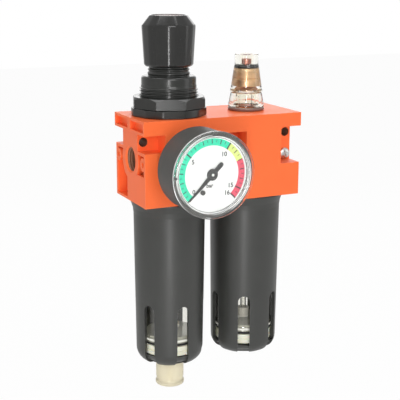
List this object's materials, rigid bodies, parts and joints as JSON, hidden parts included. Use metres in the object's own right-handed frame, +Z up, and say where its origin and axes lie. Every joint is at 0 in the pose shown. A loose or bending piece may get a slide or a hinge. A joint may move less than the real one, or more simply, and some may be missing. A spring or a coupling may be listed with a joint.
{
  "type": "filter regulator lubricator unit",
  "caption": "Compressed air service unit: filter regulator with adjusting knob and dial gauge, and an oil lubricator with a clear sight dome, on one body over guarded bowls.",
  "frame": {"origin": "centre of the body's flat rear face, level with the axis of the two ports", "axes": "+X from the inlet to the outlet, +Y out of the rear face, so the gauge faces -Y, +Z up along the stages"},
  "size_m": [0.0856, 0.0722, 0.1905],
  "materials": {
    "orange_enamel": "satin orange-red coating on die-cast zinc",
    "black_nylon": "satin black moulded nylon",
    "guard_nylon": "finely textured dark grey moulded nylon",
    "nitrile_rubber": "matt black rubber",
    "brass": "turned brass",
    "zinc_steel": "bright zinc plating",
    "spring_steel": "drawn steel wire",
    "clear_plastic": "clear polished plastic",
    "cream_plastic": "milky cream moulded plastic",
    "white_plastic": "white moulded plastic",
    "sintered_filter": "grainy sintered plastic",
    "dial_white": "matt white printed sheet",
    "cap_brown": "dark brown disc"
  },
  "bodies": {
    "root": {"body": "orange_enamel", "side_screw": "zinc_steel", "rear_gauge_plug": "brass", "regulator_bonnet": "black_nylon", "panel_nut": "black_nylon", "diaphragm": "nitrile_rubber", "valve_seat": "brass", "valve_holder": "white_plastic", "filter_baffle": "white_plastic", "filter_element": "sintered_filter", "element_retainer": "white_plastic", "regulating_spring": "spring_steel", "valve_spring": "spring_steel", "sight_dome": "clear_plastic", "dome_seal": "nitrile_rubber", "drip_bush": "brass", "needle_seal": "nitrile_rubber", "oil_feed_insert": "cream_plastic", "check_ball": "zinc_steel", "siphon_tube": "clear_plastic", "siphon_strainer": "sintered_filter", "flow_vane": "nitrile_rubber", "gauge_socket": "brass", "gauge_gasket": "nitrile_rubber", "gauge_case": "guard_nylon", "gauge_lens": "clear_plastic", "gauge_dial": "dial_white", "gauge_stop_pin": "guard_nylon", "movement_plate": "brass", "bourdon_tube": "brass"},
    "screw": {"adjusting_screw": "zinc_steel"},
    "knob": {"adjusting_knob": "black_nylon", "knob_cap": "cap_brown"},
    "nut": {"spring_nut": "brass"},
    "plate": {"diaphragm_plate": "zinc_steel"},
    "poppet": {"valve_poppet": "brass"},
    "pointer": {"gauge_pointer": "black_nylon", "pointer_shaft": "zinc_steel"},
    "sector": {"gauge_sector": "brass"},
    "needle": {"needle_screw": "brass"},
    "filter_bowl": {"filter_bowl": "clear_plastic", "filter_bowl_seal": "nitrile_rubber", "filter_base_seal": "nitrile_rubber", "filter_bowl_base": "cream_plastic", "drain_spring": "spring_steel"},
    "filter_guard": {"filter_guard": "guard_nylon"},
    "drain": {"drain_stem": "cream_plastic", "drain_seal": "nitrile_rubber", "drain_knob": "cream_plastic"},
    "lubricator_bowl": {"lubricator_bowl": "clear_plastic", "lubricator_bowl_seal": "nitrile_rubber", "lubricator_base_seal": "nitrile_rubber", "lubricator_bowl_base": "cream_plastic"},
    "lubricator_guard": {"lubricator_guard": "guard_nylon"}
  },
  "joints": [
    {"name": "pressure_adjust", "type": "hinge", "parent": "root", "child": "screw", "pos_m": [-0.0215, -0.01945, 0.055], "axis": [0, 0, -1], "range_deg": [0, 1800]},
    {"name": "knob_lock", "type": "slide", "parent": "screw", "child": "knob", "axis": [0, 0, -1], "range_m": [0, 0.0035]},
    {"name": "spring_nut_travel", "type": "slide", "parent": "root", "child": "nut", "axis": [0, 0, -1], "range_m": [0, 0.00625], "deforming": ["regulating_spring"]},
    {"name": "diaphragm_stroke", "type": "slide", "parent": "root", "child": "plate", "axis": [0, 0, -1], "range_m": [0, 0.0012], "deforming": ["diaphragm"]},
    {"name": "valve_stroke", "type": "slide", "parent": "root", "child": "poppet", "axis": [0, 0, -1], "range_m": [0, 0.0012], "deforming": ["valve_spring"]},
    {"name": "gauge_pointer_turn", "type": "hinge", "parent": "root", "child": "pointer", "pos_m": [-0.0215, -0.065, 0], "axis": [0, 1, 0], "range_deg": [0, 270], "stiffness_Nm_per_rad": 0.00002},
    {"name": "gauge_sector_turn", "type": "hinge", "parent": "root", "child": "sector", "pos_m": [-0.017, -0.065, -0.00779], "axis": [0, 1, 0], "range_deg": [-46, 0]},
    {"name": "needle_turn", "type": "hinge", "parent": "root", "child": "needle", "pos_m": [0.0215, -0.01945, 0.045], "axis": [0, 0, 1], "range_deg": [0, 720]},
    {"name": "filter_bowl_drop", "type": "slide", "parent": "root", "child": "filter_bowl", "axis": [0, 0, -1], "range_m": [0, 0.08]},
    {"name": "filter_guard_turn", "type": "hinge", "parent": "filter_bowl", "child": "filter_guard", "pos_m": [-0.0215, -0.01945, -0.06], "axis": [0, 0, 1], "range_deg": [0, 45]},
    {"name": "drain_push", "type": "slide", "parent": "filter_bowl", "child": "drain", "axis": [0, 0, 1], "range_m": [0, 0.003], "stiffness_N_per_m": 400, "springref_m": -0.002, "deforming": ["drain_spring"]},
    {"name": "lubricator_bowl_drop", "type": "slide", "parent": "root", "child": "lubricator_bowl", "axis": [0, 0, -1], "range_m": [0, 0.08]},
    {"name": "lubricator_guard_turn", "type": "hinge", "parent": "lubricator_bowl", "child": "lubricator_guard", "pos_m": [0.0215, -0.01945, -0.06], "axis": [0, 0, 1], "range_deg": [0, 45]}
  ],
  "couplings": [
    {"joint": "spring_nut_travel", "follows": "pressure_adjust", "m_per_rad": 0.00019894},
    {"joint": "diaphragm_stroke", "follows": "pressure_adjust", "m_per_rad": 0.00003819},
    {"joint": "valve_stroke", "follows": "pressure_adjust", "m_per_rad": 0.00003819},
    {"joint": "gauge_sector_turn", "follows": "gauge_pointer_turn", "ratio": -0.16667}
  ]
}
